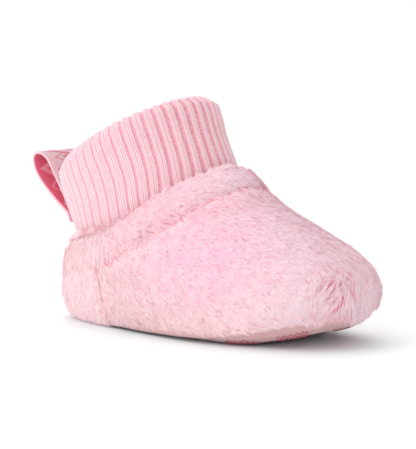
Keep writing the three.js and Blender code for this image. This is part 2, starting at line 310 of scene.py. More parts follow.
sole = {"length": 118, "heelBehindOrigin": 21.5, "ballWidth": 54, "heelWidth": 40, "thickness": 2.2,
        "flatShare": 0.78, "edgeRoll": 1.5, "toeSpring": 8, "toeSpringLength": 40, "gap": 0.3,
        "roll": [(0, 1), (90, 1), (180, 0.35)]}
cuff = {"length": 64, "width": 50, "riseFront": 28, "riseBack": 25, "lean": 24.5, "wall": 2.6, "tuck": 4,
        "centre": (9, 0, 42), "ribCount": 46, "ribDepth": 0.9,
        "ringAlong": (-0.4, 0, 0.45, 0.7, 0.88, 1), "ringOut": (-0.015, 0.01, 0.008, 0.01, 0.003, -0.033),
        "dip": [(0, 0.03), (40, 0.09), (90, 0.24), (125, 0.12), (180, 0.1)]}
upper = {"wall": 3.6, "overhang": 2.2, "bulge": 9,
         "out": [(0, 1.05), (40, 1.15), (90, 0.7), (125, 0.85), (180, 1.2)],
         "rise": [(0, 0.5), (40, 0.44), (90, 0.35), (125, 0.2), (180, 0.04)],
         "shift": [(0, 0.33), (40, 0.26), (90, 0.15), (125, 0.3), (180, 0.15)],
         "lean": [(0, 0), (40, 0.1), (90, 0.15), (125, 0.45), (180, 0.65)],
         "drop": [(0, 0.46), (40, 0.4), (90, 0.27), (125, 0.04), (180, 0.2)],
         "hang": [(0, 0), (45, 0), (90, 0.75), (125, 0.9), (180, 0.9)],
         "seamUp": [(0, 0.9), (40, 0.87), (90, 0.75), (112, 0.62), (140, 0.6), (180, 0.62)],
         "heelSeamAngle": 115, "heelSeamSlant": 10}
cuffAxis = np.array([-math.sin(math.radians(cuff["lean"])), 0, math.cos(math.radians(cuff["lean"]))])
cuffForward = np.array([math.cos(math.radians(cuff["lean"])), 0, math.sin(math.radians(cuff["lean"]))])
soleMiddle = sole["length"] / 2 - sole["heelBehindOrigin"]


def squared(value, power):
    return np.sign(value) * np.abs(value) ** power


def soleOutline(angle, grow=0.0):
    turned = np.radians(angle)
    half = sole["length"] / 2 + grow
    x = soleMiddle + half * squared(np.cos(turned), 0.86)
    share = (x - soleMiddle + half) / (2 * half)
    halfWidth = mix(sole["heelWidth"], sole["ballWidth"], smooth(0.12, 0.72, share)) / 2 + grow
    return stack(x, halfWidth * squared(np.sin(turned), 0.78), 0)


def soleUnderside(angle, x, towardsEdge):
    toe = sole["length"] - sole["heelBehindOrigin"]
    spring = np.maximum(0, (x - toe + sole["toeSpringLength"]) / sole["toeSpringLength"])
    roll = sole["edgeRoll"] * readSections(sole["roll"], angle)
    return sole["toeSpring"] * spring ** 2 + roll * smooth(sole["flatShare"], 1, towardsEdge) ** 2


def soleRow(angles, towardsEdge, lift, grow=0.0):
    rim, edge = soleOutline(angles), soleOutline(angles, grow)
    x = mix(soleMiddle, edge[:, 0], towardsEdge)
    y = edge[:, 1] * towardsEdge
    reach = np.hypot(x - soleMiddle, y) / np.hypot(rim[:, 0] - soleMiddle, rim[:, 1])
    return stack(x, y, soleUnderside(angles, x, reach) + lift)


def cuffRise(angle):
    return mix(cuff["riseBack"], cuff["riseFront"], (1 + np.cos(np.radians(angle))) / 2)


def cuffPoint(angle, along, outwards=0.0):
    stops, outs = np.array(cuff["ringAlong"], float), np.array(cuff["ringOut"], float)
    i = np.clip(np.searchsorted(stops, along, side="left") - 1, 0, len(stops) - 2)
    out = mix(outs[i], outs[i + 1], smooth(stops[i], stops[i + 1], along)) * cuff["length"] + outwards
    turned = np.radians(angle)
    return (np.array(cuff["centre"], float) + times(cuffAxis, along * cuffRise(angle))
            + times(cuffForward, (cuff["length"] / 2 + out) * np.cos(turned))
            + times((0, 1, 0), (cuff["width"] / 2 + out) * np.sin(turned)))


def collarAlong(angle):
    return -readSections(cuff["dip"], angle)


def upperBase(angle, x):
    return soleUnderside(angle, x, 1) + sole["thickness"] + sole["gap"]


def upperFoot(angle, x):
    base = upperBase(angle, x)
    return base - readSections(upper["hang"], angle) * (base - soleUnderside(angle, x, sole["flatShare"]))


def upperPoint(angle, up):  # up runs from the sole's edge, 0, to the cuff's seam, 1
    foot = soleOutline(angle, upper["overhang"])
    footOut = unit(soleOutline(angle, upper["overhang"] + 1) - foot)
    foot[..., 2] = upperFoot(angle, foot[..., 0])
    top = cuffPoint(angle, collarAlong(angle), cuff["ribDepth"] + sole["gap"] + upper["wall"])
    topOut = stack(np.cos(np.radians(angle)), np.sin(np.radians(angle)), 0)
    height = top[..., 2] - foot[..., 2]
    low = (foot + footOut * (readSections(upper["out"], angle) * upper["bulge"])[..., None]
           + times((0, 0, 1), readSections(upper["rise"], angle) * height))
    back = foot - top
    back[..., 2] = 0
    high = (top + back * readSections(upper["shift"], angle)[..., None]
            + topOut * (readSections(upper["lean"], angle) * upper["bulge"])[..., None]
            - times((0, 0, 1), readSections(upper["drop"], angle) * height))
    t = np.broadcast_to(up, angle.shape)[..., None]
    return (1 - t) ** 3 * foot + 3 * (1 - t) ** 2 * t * low + 3 * (1 - t) * t ** 2 * high + t ** 3 * top


def upperSlopes(angle, up):  # the ways round and up the form, per degree and per whole section
    low, high = np.clip(up - 0.01, 0, 1), np.clip(up + 0.01, 0, 1)
    around = (upperPoint(angle + 1, up) - upperPoint(angle - 1, up)) / 2
    upwards = (upperPoint(angle, high) - upperPoint(angle, low)) / (high - low)[..., None]
    return around, upwards


def upperNormal(angle, up):
    around, upwards = upperSlopes(angle, up)
    return unit(np.cross(around, upwards))


def skinPoint(angle, up, depth):
    return upperPoint(angle, up) - upperNormal(angle, up) * np.broadcast_to(depth, angle.shape)[..., None]


def seamDistances(angle, up):  # mm from the seam under the collar band, and from the heel's side seam
    folded = foldedFrom(angle)
    seamUp = readSections(upper["seamUp"], angle)
    around, upwards = upperSlopes(angle, up)
    height = np.minimum(1, up / seamUp)
    heelSeam = upper["heelSeamAngle"] + upper["heelSeamSlant"] * (0.5 - height)
    band = (up - seamUp) * np.linalg.norm(upwards, axis=-1)
    heel = (folded - heelSeam) * np.linalg.norm(around, axis=-1)
    return band, heel


# The suede sole.

soleSkin = {"around": 128, "gripProud": 0.3, "bandAtToe": 4.4, "bandAtSide": 2.6, "bandAtTip": 0.05,
            "bandEnds": (100, 135), "stations": (0, 0.12, 0.3, 0.5, 0.65, 0.76, 0.83, 0.89, 0.94, 0.98)}
suede = Finish("pinkSuede", Roughness=0.92, Sheen_Weight=0.35, Sheen_Roughness=0.5)
nap = suede.grain(0.35, 3)
shading = suede.grain(9, 2)
suede.paint(suede.blend(shading, suede.blend(nap, colour(212, 156, 158), colour(230, 180, 182)),
                        colour(236, 186, 190)))
suede.bump(nap + 0.5 * suede.grain(1.6), 0.12)
angles = np.arange(soleSkin["around"]) * 360 / soleSkin["around"]
under = [soleRow(angles, share, soleSkin["gripProud"]) for share in soleSkin["stations"]]


def bandTop(angle):  # how high the suede band stands above the sole's rolled edge, round toe and ball
    folded = foldedFrom(angle)
    overBall = mix(soleSkin["bandAtToe"], soleSkin["bandAtSide"], smooth(50, 95, folded))
    overBall *= 1 - smooth(*soleSkin["bandEnds"], folded)
    return overBall * mix(soleSkin["bandAtTip"], 1, smooth(8, 34, folded))


def bandRow(share, depth):  # up the upper's form to the band's top edge, and by the sole's edge at the heel
    there = 1 - smooth(*soleSkin["bandEnds"], foldedFrom(angles))
    tries = np.linspace(0, 0.3, 31)
    heights = np.array([upperPoint(angles, np.full_like(angles, up))[:, 2] for up in tries])
    edgeHeight = soleUnderside(angles, soleOutline(angles, upper["overhang"])[:, 0], 1)
    goal = mix(heights[0], np.maximum(edgeHeight + bandTop(angles), heights[0] + 0.05), share)
    up = np.array([np.interp(z, column, tries) for z, column in zip(goal, heights.T)])
    plain = soleRow(angles, 1, 0, -0.1 - 0.1 * share)
    plain[:, 2] = soleUnderside(angles, plain[:, 0], 1) + mix(0.9, 2.1, share)
    return mix(plain, skinPoint(angles, up, depth), there[:, None])


edge = [soleRow(angles, 0.998, 0.4)]
edge += [bandRow(share, depth) for share, depth in ((0, 0.9), (0.15, 0.45), (0.4, 0.3), (0.7, 0.3), (0.93, 0.4),
                                                    (1, 0.7), (1, 1.2), (0.5, 1.7))]
edge.append(soleRow(angles, 0.98, sole["thickness"]))
top = [soleRow(angles, share, sole["thickness"]) for share in (0.9, 0.75, 0.5, 0.25, 0)]
settle(skinFromRows("suedeSole", under + edge + top, True, False), [suede], ["outsole"])

# Each pad of the grip is an oval: its middle and its half sizes.
grip = {"pitch": 1.9, "size": 0.62, "proud": 0.3, "reach": 0.99,
        "pads": [(2, 0, 14, 16), (64, 0, 8, 30), (82, -16, 5, 7), (82, 16, 5, 7)]}
gripFinish = Finish("gripPrint", Roughness=0.55)
gripFinish.paint(gripFinish.blend(gripFinish.grain(1.2), colour(186, 92, 110), colour(206, 118, 132)))
gripFinish.bump(gripFinish.grain(0.3), 0.03)


def gripDots():
    bm = bmesh.new()
    tries = np.linspace(-180, 180, 721)
    outline = soleOutline(tries)
    bearing = np.degrees(np.arctan2(outline[:, 1], outline[:, 0] - soleMiddle))
    for column in range(int(sole["length"] / grip["pitch"])):
        x = column * grip["pitch"] - sole["heelBehindOrigin"]
        for row in range(-16, 17):
            y = (row + 0.5 * (column % 2)) * grip["pitch"]
            if all(((x - cx) / rx) ** 2 + ((y - cy) / ry) ** 2 > 1 for cx, cy, rx, ry in grip["pads"]):
                continue
            angle = math.degrees(math.atan2(y, x - soleMiddle))
            nearest = np.argmin(foldedFrom(bearing - angle))
            reach = math.hypot(x - soleMiddle, y) / math.hypot(outline[nearest, 0] - soleMiddle,
                                                              outline[nearest, 1])
            if reach > grip["reach"]:
                continue
            z = float(soleUnderside(tries[nearest], x, reach))
            made = bmesh.ops.create_cone(bm, cap_ends=True, segments=8, radius1=grip["size"] * 0.8 * mm,
                                         radius2=grip["size"] * mm, depth=(grip["proud"] + 0.2) * mm)
            bmesh.ops.translate(bm, verts=made["verts"],
                                vec=(x * mm, y * mm, (z + (grip["proud"] + 0.2) / 2) * mm))
    for face in bm.faces:
        face.smooth = False
    return objectFrom("gripDots", bm)


settle(gripDots(), [gripFinish])
print("sole")

insoleShape = {"around": 96, "thickness": 3, "inset": 2.2 - 3.6 - 0.3}
lining = Finish("brushedLining", Roughness=0.95, Sheen_Weight=0.4)
fuzz = lining.grain(0.7, 3)
lining.paint(lining.blend(fuzz, colour(240, 205, 212), colour(252, 228, 233)))
lining.bump(fuzz + lining.grain(2.2), 0.35)
angles = np.arange(insoleShape["around"]) * 360 / insoleShape["around"]
bedFloor = sole["thickness"] + sole["gap"]
bedTop = bedFloor + insoleShape["thickness"]
bed = [soleRow(angles, share, bedFloor) for share in (0, 0.3, 0.6, 0.8, 0.93)]
bed += [soleRow(angles, 1, bedFloor + insoleShape["thickness"] * share, insoleShape["inset"])
        for share in (0.1, 0.4, 0.75)]
bed += [soleRow(angles, share, bedTop) for share in (0.93, 0.8, 0.6, 0.3, 0)]
insole = settle(skinFromRows("insolePad", bed, True, False), [lining], ["insole"])
print("insole")


# The plush upper: its skin, then its pile.

skin = {"around": 180, "inset": 1.1, "bandDent": 0.3, "heelDent": 0.05, "seamReach": 1.7, "lip": 0.35,
        "puff": 1.0, "rows": 46, "inside": (0.78, 0.62, 0.45, 0.3, 0.16),
        "collar": ((-0.1, 0.8), (-0.05, 0.5), (0.3, 0.2), (1, 0.04), (cuff["tuck"], 0))}
fleece = Finish("fleeceBacking", Roughness=0.95, Sheen_Weight=0.3)
weave = fleece.grain(0.6, 3)
fleece.paint(fleece.blend(weave, colour(244, 194, 207), colour(250, 208, 219)))
fleece.bump(weave, 0.3)


def seamDent(angle, up):
    band, heel = seamDistances(angle, up)
    bandDent = np.exp(-(band / skin["seamReach"]) ** 2)
    heelDent = np.exp(-(heel / skin["seamReach"]) ** 2) * (band < 0) * smooth(0, 0.2, up)
    return np.maximum(skin["bandDent"] * bandDent, skin["heelDent"] * heelDent)


def skinDepth(angle, up):  # the fleece under the pile's tips, rolled in at the back of the collar
    front = 1 - smooth(50, 105, foldedFrom(angle))
    lip = skin["lip"] * smooth(0.86, 1, up) * (1 - front)
    puff = skin["puff"] * front * smooth(0.78, 0.93, up) * (1 - 0.4 * smooth(0.96, 1, up))
    return skin["inset"] + seamDent(angle, up) + lip - puff


def collarShelf(angle):  # from the cuff's ribs out to the fleece's edge
    return upper["wall"] - skinDepth(angle, np.ones_like(angle))


def upperSkin():
    angles = np.arange(skin["around"]) * 360 / skin["around"]
    full = np.ones_like(angles)
    rows = [skinPoint(angles, full * up, skinDepth(angles, full * up))
            for up in np.linspace(0, 1, skin["rows"])]
    for lower, share in skin["collar"]:
        along = collarAlong(angles) - lower / cuff["riseBack"]
        rows.append(cuffPoint(angles, along, cuff["ribDepth"] + sole["gap"] + collarShelf(angles) * share))
    for up in skin["inside"]:
        rows.append(skinPoint(angles, full * up, upper["wall"]))
    for grow, heightAt in ((upper["overhang"] - upper["wall"], upperBase), (sole["gap"], upperBase),
                           (sole["gap"], upperFoot)):
        row = soleOutline(angles, grow)
        row[:, 2] = heightAt(angles, row[:, 0])
        rows.append(row)
    return skinFromRows("fleeceSkin", rows)


settle(upperSkin(), [fleece], ["upper"])
print("upper's skin")

pile = {"seed": 7, "blades": 197000, "fringe": 18000, "guides": 21000, "width": 0.135, "splay": 8,
        "edgeSplay": 40, "twist": 12, "clump": (0.1, 0.45), "strays": 0.06, "strayRise": 0.9, "seamReach": 1.5,
        "edgeRise": 0.7, "hangDown": 1.3, "vampFall": (-0.42, -0.08), "bandFall": 0.55,
        "vamp": {"length": 3.6, "rise": 0.95, "curl": 6}, "toe": {"length": 3.6, "rise": 1.05, "curl": 8},
        "heel": {"length": 3.0, "rise": 0.95, "curl": 7}, "band": {"length": 3.0, "rise": 1.05, "curl": 8}}
# The tousled place on the toe: each spot is combed by so much round the toe and upwards.
tousle = {"at": (95.5, -12.5, 20), "reach": 9.0, "longer": 0.45, "lane": (0.55, 4.5), "relief": 1.4,
          "combs": [((97.5, -9, 23.5), (-0.7, -0.7), 5.5), ((95.8, -12.8, 20.3), (-0.7, -0.7), 5),
                    ((92, -17.5, 20.5), (-0.15, -1), 5), ((91, -19, 13), (0.3, -1), 4.5),
                    ((96.5, -12, 13.5), (-0.9, -0.3), 4), ((99.5, -4, 17), (0.1, -1), 6.5)]}
# One grey tone of the pile is painted shade, for the side away from the light.
tones = {"deep": (234, 142, 168), "rose": (247, 200, 212), "mid": (248, 210, 220), "lilac": (247, 207, 226),
         "pale": (249, 216, 224), "cream": (247, 218, 222), "white": (248, 225, 229),
         "paintedShade": (241, 219, 225)}
# Where each tone goes: the vamp's lilac middle, the limits on the guides' lightness, and shares of the blades.
hues = {"lilacAt": (54, 29), "lilacReach": (27, 15), "lilacShare": 0.85, "paleAbove": 0.3, "roseBelow": -0.65,
        "heelShare": 0.95, "footShare": 0.95, "toeShare": 0.6, "paintedShadeShare": 0.92, "rimLightShare": 0.35,
        "deepRoots": (0.03, 0.6), "lane": 0.12, "flecks": 0.004, "glow": 0.09,
        "dimpleSize": 2.3, "dimpleReach": 0.8, "dimpleShare": 0.5, "dimpleEnd": 124}
# Each fibre glows faintly in its own tone: painted light standing in for the light bounced among the hairs.
fibres = [Finish("plush" + name.capitalize(), Base_Color=colour(*shade), Roughness=0.8, Sheen_Weight=0.2,
                 Emission_Color=colour(*shade), Emission_Strength=hues["glow"]) for name, shade in tones.items()]
toneNames = list(tones)


def toneOf(name):
    return toneNames.index(name)


def regionShares(angle, up):  # how far a place belongs to the heel, the collar band and the toe
    band, heel = seamDistances(angle, up)
    point = upperPoint(angle, up)
    inBand = smooth(-1.2, 1.2, band)
    inHeel = smooth(-3.5, 3.5, heel) * (1 - inBand)
    inToe = smooth(58, 80, point[:, 0]) * (1 - inBand)
    return inHeel, inBand, inToe


def spread(count, random):  # places spread evenly over the form by area
    angle = random.uniform(0, 360, count * 4)
    up = random.uniform(0, 1, count * 4)
    around, upwards = upperSlopes(angle, up)
    area = np.linalg.norm(np.cross(around, upwards), axis=-1)
    bare = bareFoot(angle, up)
    kept = np.flatnonzero((random.uniform(0, np.quantile(area, 0.995), count * 4) < area) & ~bare)[:count]
    return angle[kept], up[kept]


def bareFoot(angle, up):  # no hair grows where the suede band covers the plush's foot
    point = upperPoint(angle, up)
    return point[:, 2] < soleUnderside(angle, point[:, 0], 1) + bandTop(angle) - 0.5


def noiseAt(points, size, seed):
    shift = Vector((seed * 7.3, seed * 3.1, seed * 5.7))
    return np.array([noise.noise(Vector(point) / size + shift) for point in points])


def turned(way, normal, degrees):
    spin = np.radians(degrees)[:, None]
    return way * np.cos(spin) + np.cross(normal, way) * np.sin(spin)


def flattened(way, normal):
    return unit(way - normal * np.sum(way * normal, axis=-1, keepdims=True))


def flowAt(angle, up, point, normal):  # the way the pile is brushed
    folded = foldedFrom(angle)
    inHeel, inBand, inToe = regionShares(angle, up)
    vampWay = stack(1, 0, mix(*pile["vampFall"], smooth(18, 42, point[:, 2])))
    heelWay = stack(-0.25, 0, np.full_like(angle, -0.95))
    side = np.sin(np.radians(angle))
    ahead = unit(upperSlopes(angle, up)[0]) * np.where(side < 0, 1, -1)[:, None]
    alongBand = smooth(0.05, 0.6, np.abs(side))[:, None]
    endWay = stack(0.9, 0, np.full_like(angle, -0.6))
    backWay = stack(-0.15, 0, np.full_like(angle, -1.0))
    bandWay = mix(endWay, ahead - np.array([0, 0, pile["bandFall"]]), alongBand)
    bandWay = mix(bandWay, backWay, smooth(64, 126, folded)[:, None])
    way = (vampWay * (1 - inHeel - inBand)[:, None] + heelWay * inHeel[:, None] + bandWay * inBand[:, None])
    roundToe = unit(np.array([0.76, 0.65, 0]))
    combed, total = np.zeros_like(way), np.zeros(len(way))
    for place, (aside, upwards), reach in tousle["combs"]:
        weight = np.exp(-(np.linalg.norm(point - np.array(place), axis=1) / reach) ** 2)
        combed += times(roundToe * aside + np.array([0, 0, upwards]), weight)
        total += weight
    untouched = 1 - np.minimum(total, 1)
    touched = np.minimum(1, 1 / np.maximum(total, 1))
    way = way * untouched[:, None] + combed * touched[:, None]
    return flattened(way, normal)


def tousled(point):
    return np.exp(-(np.linalg.norm(point - np.array(tousle["at"]), axis=1) / tousle["reach"]) ** 2)


def regionValue(key, shares):
    inHeel, inBand, inToe = shares
    body = mix(pile["vamp"][key], pile["toe"][key], inToe)
    return body * (1 - inHeel - inBand) + pile["heel"][key] * inHeel + pile["band"][key] * inBand


def plantBlades(name, root, mid, tip, normal, rootTone, tipTone, random):
    # Each blade is a tapered ribbon of a quad and a triangle.
    count = len(root)
    twist = np.radians(random.normal(0, pile["twist"], count))[:, None]
    across = unit(np.cross(normal, unit(tip - root)))
    across = across * np.cos(twist) + normal * np.sin(twist)
    half = across * (pile["width"] * random.uniform(0.75, 1.3, count))[:, None]
    blades = np.stack([root - half, root + half, mid + half * 0.9, mid - half * 0.9, tip], axis=1)
    starts = np.arange(count) * 5
    corners = (starts[:, None] + np.array([1, 0, 3, 2, 2, 3, 4])).ravel()
    sizes = np.tile([4, 3], count)
    slots = np.stack([rootTone, tipTone], axis=1).ravel()
    made = meshFromArrays(name, blades.reshape(-1, 3), corners, sizes, slots, fibres)
    settle(made)
    print(name, count, "blades")


def laneAt(root, normal, way):  # streaks along the brushed pile: above 0 a lock, below 0 a parting
    aside = np.cross(normal, way)
    away = root - np.array(tousle["at"])
    wide, long = tousle["lane"]
    return np.array([noise.noise(Vector((u / wide, v / long, 0.5))) for u, v in zip(
        np.sum(away * aside, axis=1), np.sum(away * way, axis=1))])


def nearestOf(spots, places):
    tree = kdtree.KDTree(len(spots))
    for index, spot in enumerate(spots):
        tree.insert(Vector(spot), index)
    tree.balance()
    return np.array([tree.find(Vector(place))[1] for place in places])


def paintedShadeShare(point, inBand):  # painted shade: the pile is painted greyer towards the far side and the toe, away from the light
    away = point[:, 0] + 0.9 * point[:, 1] + 0.35 * point[:, 2] + 16 * inBand
    return hues["paintedShadeShare"] * smooth(34, 88, away)


def growPile():
    random = np.random.default_rng(pile["seed"])
    gAngle, gUp = spread(pile["guides"], random)
    gNormal = upperNormal(gAngle, gUp)
    gRoot = skinPoint(gAngle, gUp, skinDepth(gAngle, gUp))
    gShares = regionShares(gAngle, gUp)
    sway = noiseAt(gRoot, 14, 1) * 1.6 + noiseAt(gRoot, 4.5, 2) * 1.5 + random.normal(0, 0.4, len(gUp))
    gWay = turned(flowAt(gAngle, gUp, gRoot, gNormal), gNormal, sway * regionValue("curl", gShares))
    gLength = regionValue("length", gShares) * (1 + 0.25 * noiseAt(gRoot, 3, 3))
    gLength *= random.uniform(0.85, 1.15, len(gUp)) * (1 + tousle["longer"] * tousled(gRoot))
    gTone = noiseAt(gRoot, 5, 4) * 0.4 + random.normal(0, 0.3, len(gUp))
    gRise = regionValue("rise", gShares) * (1 + 0.3 * noiseAt(gRoot, 5, 5))

    angle, up = spread(pile["blades"], random)
    count = len(up)
    normal = upperNormal(angle, up)
    root = skinPoint(angle, up, skinDepth(angle, up))
    shares = regionShares(angle, up)
    inHeel, inBand, inToe = shares
    nearest = nearestOf(gRoot, root)
    tangle = tousled(root)
    lanes = laneAt(root, normal, flowAt(angle, up, root, normal)) * tangle

    band, heel = seamDistances(angle, up)
    fromSeam = np.minimum(np.abs(band), np.where(inBand < 0.5, np.abs(heel), 99))
    nearSeam = np.exp(-(fromSeam / pile["seamReach"]) ** 2)
    length = gLength[nearest] * random.uniform(0.8, 1.15, count) * (1 - 0.1 * nearSeam)
    rise = gRise[nearest] * random.uniform(0.7, 1.2, count) * (1 - 0.2 * nearSeam)
    rise *= 1 + tousle["relief"] * lanes
    folded = foldedFrom(angle)
    rise *= 1 + pile["edgeRise"] * smooth(0.84, 0.97, up) * smooth(90, 130, folded)
    splay = mix(pile["splay"], pile["edgeSplay"], smooth(0.88, 0.98, up))
    way = turned(flattened(gWay[nearest], normal), normal, random.normal(0, 1, count) * splay)
    reach = np.sqrt(np.maximum(length ** 2 - rise ** 2, 0.5))
    tip = root + way * reach[:, None] + normal * rise[:, None]
    mid = root + way * (0.42 * reach)[:, None] + normal * (0.75 * rise)[:, None]
    tuft = (gRoot + gWay * (gLength * 0.88)[:, None] + gNormal * gRise[:, None])[nearest]
    clump = (random.uniform(*pile["clump"], count) * (1 - 0.6 * tangle))[:, None]
    tip = mix(tip, tuft + random.normal(0, 0.15, (count, 3)), clump)
    mid = mix(mid, mix(root, tuft, 0.5) + normal * (0.3 * rise)[:, None], clump * 0.5)
    hanging = smooth(24, 6, folded) * smooth(0.22, 0.03, up)  # the toe's lowest hairs hang over the suede
    tip += normal * hanging[:, None] - times((0, 0, pile["hangDown"]), hanging)
    mid += normal * (0.6 * hanging)[:, None]
    stray = (random.uniform(0, 1, count) < pile["strays"]) * random.uniform(0.3, 1, count)
    tip += normal * (stray * pile["strayRise"])[:, None]
    tip[:, 2] = np.maximum(tip[:, 2], 0.15)
    mid[:, 2] = np.maximum(mid[:, 2], 0.25)

    lightness = gTone[nearest] + random.normal(0, 0.3, count)
    tone = np.full(count, toneOf("mid"))
    chance = random.uniform(0, 1, (4, count))
    point = upperPoint(angle, up)
    (lilacX, lilacZ), (reachX, reachZ) = hues["lilacAt"], hues["lilacReach"]
    middle = hues["lilacShare"] * np.exp(-((point[:, 0] - lilacX) / reachX) ** 2
                                         - ((point[:, 2] - lilacZ) / reachZ) ** 2) * (1 - inBand)
    tone[chance[0] < middle] = toneOf("lilac")
    tone[lightness > hues["paleAbove"]] = toneOf("pale")
    tone[lightness < hues["roseBelow"]] = toneOf("rose")
    # Blades are paler towards the heel, the foot and the toe's tip: partly the plush's own paler tone and partly
    # painted light, on the lit heel and against the shade near the floor and at the toe.
    creamy = np.where(lightness > 0, toneOf("white"), toneOf("cream"))
    backwards = smooth(45, 125, folded)
    paleHeel = chance[1] < hues["heelShare"] * backwards
    tone[paleHeel] = creamy[paleHeel]
    nearFoot = 1 - smooth(0.1, 0.45, up)
    paleFoot = chance[2] < hues["footShare"] * nearFoot + hues["toeShare"] * smooth(82, 100, point[:, 0])
    tone[paleFoot] = creamy[paleFoot]
    # Painted shade: blades towards the far side and the toe take the grey tone.
    inPaintedShade = (chance[1] < paintedShadeShare(point, inBand)) & (backwards < 0.5)
    tone[inPaintedShade] = toneOf("paintedShade")
    # Painted light: the far tip of the toe, an edge in shade, is lightened to white.
    paintedRimLight = hues["rimLightShare"] * smooth(84, 92, point[:, 0] + 0.35 * point[:, 1]) * smooth(-8, 8, point[:, 1])
    tone[chance[2] < paintedRimLight] = toneOf("white")
    # The roots are painted a deeper pink than the tips: painted shade down in the pile, deepest in the toe's
    # tousle, and eased to mid at the back, the collar and the band.
    rootTone = np.where(chance[3] < mix(*hues["deepRoots"], tangle), toneOf("deep"), toneOf("rose"))
    # Painted shade and highlight in the toe's tousle: the partings take deep and rose tones and the raised locks
    # white.
    tone[(lanes < -hues["lane"]) & (chance[0] < 0.6)] = toneOf("deep")
    tone[(lanes < -hues["lane"]) & (chance[0] > 0.6)] = toneOf("rose")
    tone[(lanes > hues["lane"]) & (chance[0] < 0.5)] = toneOf("white")
    rootTone[(chance[3] > 0.6) & (backwards > 0.5)] = toneOf("mid")
    flecks = random.uniform(0, 1, count) < hues["flecks"] * (1 - 0.7 * backwards)
    tone[flecks] = rootTone[flecks] = toneOf("deep")
    mid[flecks] += normal[flecks] * 0.25
    inSeam = (np.abs(band) < hues["dimpleReach"]) & (folded < hues["dimpleEnd"])
    inSeam |= (np.abs(heel) < hues["dimpleReach"] * 0.5) & (band < 0)
    dimples = inSeam & (noiseAt(root, hues["dimpleSize"], 9) > 0.08) & (chance[1] < hues["dimpleShare"])
    tone[dimples] = toneOf("deep")
    rootTone[up > 0.93] = toneOf("mid")
    rootTone[(inBand > 0.5) & (rootTone == toneOf("rose")) & (chance[2] < 0.6)] = toneOf("mid")

    parts = {"heelPile": inHeel > 0.5, "bandPile": inBand > 0.5, "toePile": inToe > 0.5}
    rest = ~(parts["heelPile"] | parts["bandPile"] | parts["toePile"])
    parts["vampPileLeft"] = rest & (root[:, 1] > 0)
    parts["vampPileRight"] = rest & (root[:, 1] <= 0)
    for name, chosen in parts.items():
        some = np.flatnonzero(chosen)
        plantBlades(name, root[some], mid[some], tip[some], normal[some], rootTone[some], tone[some], random)


def growFringe():  # the collar's edge, whose hairs stand up over the foot of the ribs
    random = np.random.default_rng(pile["seed"] + 1)
    count = pile["fringe"]
    angle = random.uniform(0, 360, count)
    inwards = random.uniform(0, 1, count)
    out = cuff["ribDepth"] + sole["gap"] + collarShelf(angle) * mix(1.0, 0.1, inwards)
    root = cuffPoint(angle, collarAlong(angle) + 0.002, out)
    collar = collarAlong(angle)
    outwards = unit(cuffPoint(angle, collar, out + 1) - cuffPoint(angle, collar, out))
    normal = unit(outwards * mix(1, 0.25, inwards)[:, None] + cuffAxis * 0.8)
    sway = noiseAt(root, 3, 6) * 1.4 + random.normal(0, 0.3, count)
    ahead = np.cross(cuffAxis, outwards) * np.where(np.sin(np.radians(angle)) < 0, 1, -1)[:, None]
    length = random.uniform(1.6, 3.2, count) * (1 + 0.3 * noiseAt(root, 4, 7))
    front = 1 - smooth(40, 140, foldedFrom(angle))
    stand = mix(inwards, random.uniform(0, 1, count), 0.5)
    way = unit(times(cuffAxis, mix(-0.9, 0.9, stand)) + outwards * mix(0.5, 0.05, stand)[:, None]
               + ahead * (0.6 * front + 0.4 * sway)[:, None])
    tip = root + way * length[:, None]
    mid = root + way * (0.45 * length)[:, None] + outwards * 0.2 + times(cuffAxis, 0.45 * (1 - inwards))
    lightness = noiseAt(root, 4, 8) + random.normal(0, 0.3, count)
    tone = np.where(lightness > 0.1, toneOf("pale"), toneOf("mid"))
    # Painted shade: the fringe too turns grey towards the far side.
    tone[random.uniform(0, 1, count) < paintedShadeShare(root, 1)] = toneOf("paintedShade")
    # At the back the fringe is paler: partly the plush's own tone and partly painted light on the lit heel side.
    atBack = smooth(60, 110, foldedFrom(angle)) > random.uniform(0, 1, count)
    tone[atBack] = np.where(lightness[atBack] > 0, toneOf("white"), toneOf("cream"))
    rootTone = np.where(atBack, toneOf("cream"), toneOf("mid"))
    plantBlades("collarFringe", root, mid, tip, normal, rootTone, tone, random)


growPile()
growFringe()
print("pile")


# The rib-knit cuff.

# Pairs are for the back and the front of the cuff.
knit = {"rowHeight": 0.7, "groove": (0.16, 0.41), "perRib": 12, "outRows": 34, "inRows": 26,
        "stitchHeight": 0.2, "ribFall": 0.34, "seed": 11, "ribCentre": 0.375, "floor": (0.3, 0.2),
        "lean": 6.5, "bulge": 1.1, "legFoot": (0.36, 0.29), "legHead": (0.13, 0.08), "legWidth": (0.235, 0.2),
        "deepPurls": 0.12, "deepFront": 0.36, "barWidth": 0.21, "barHeight": 0.2}
knitTones = {"deep": (232, 154, 167), "groove": (248, 194, 206), "rib": (248, 212, 220),
             "light": (249, 217, 224), "glow": (250, 224, 229)}
yarns = [Finish("yarn" + name.capitalize(), Base_Color=colour(*shade), Roughness=0.85, Sheen_Weight=0.2)
         for name, shade in knitTones.items()]
knitBase = Finish("knitBase", Roughness=0.9, Sheen_Weight=0.3)
yarnGrain = knitBase.grain(0.5, 3)
ahead = knitBase.node("SeparateXYZ", {}, {0: knitBase.place()}, 0)
atBack = ahead.under(0.024, 0.014)
frontYarn = knitBase.blend(yarnGrain, colour(240, 175, 187), colour(247, 191, 202))
backYarn = knitBase.blend(yarnGrain, colour(240, 164, 184), colour(247, 184, 200))
knitBase.paint(knitBase.blend(atBack, frontYarn, backYarn))
knitBase.bump(yarnGrain, 0.2)


def frontShare(angle):
    return 1 - smooth(5, 75, foldedFrom(angle + 5))


def grooveShare(angle):
    return mix(*knit["groove"], frontShare(angle))


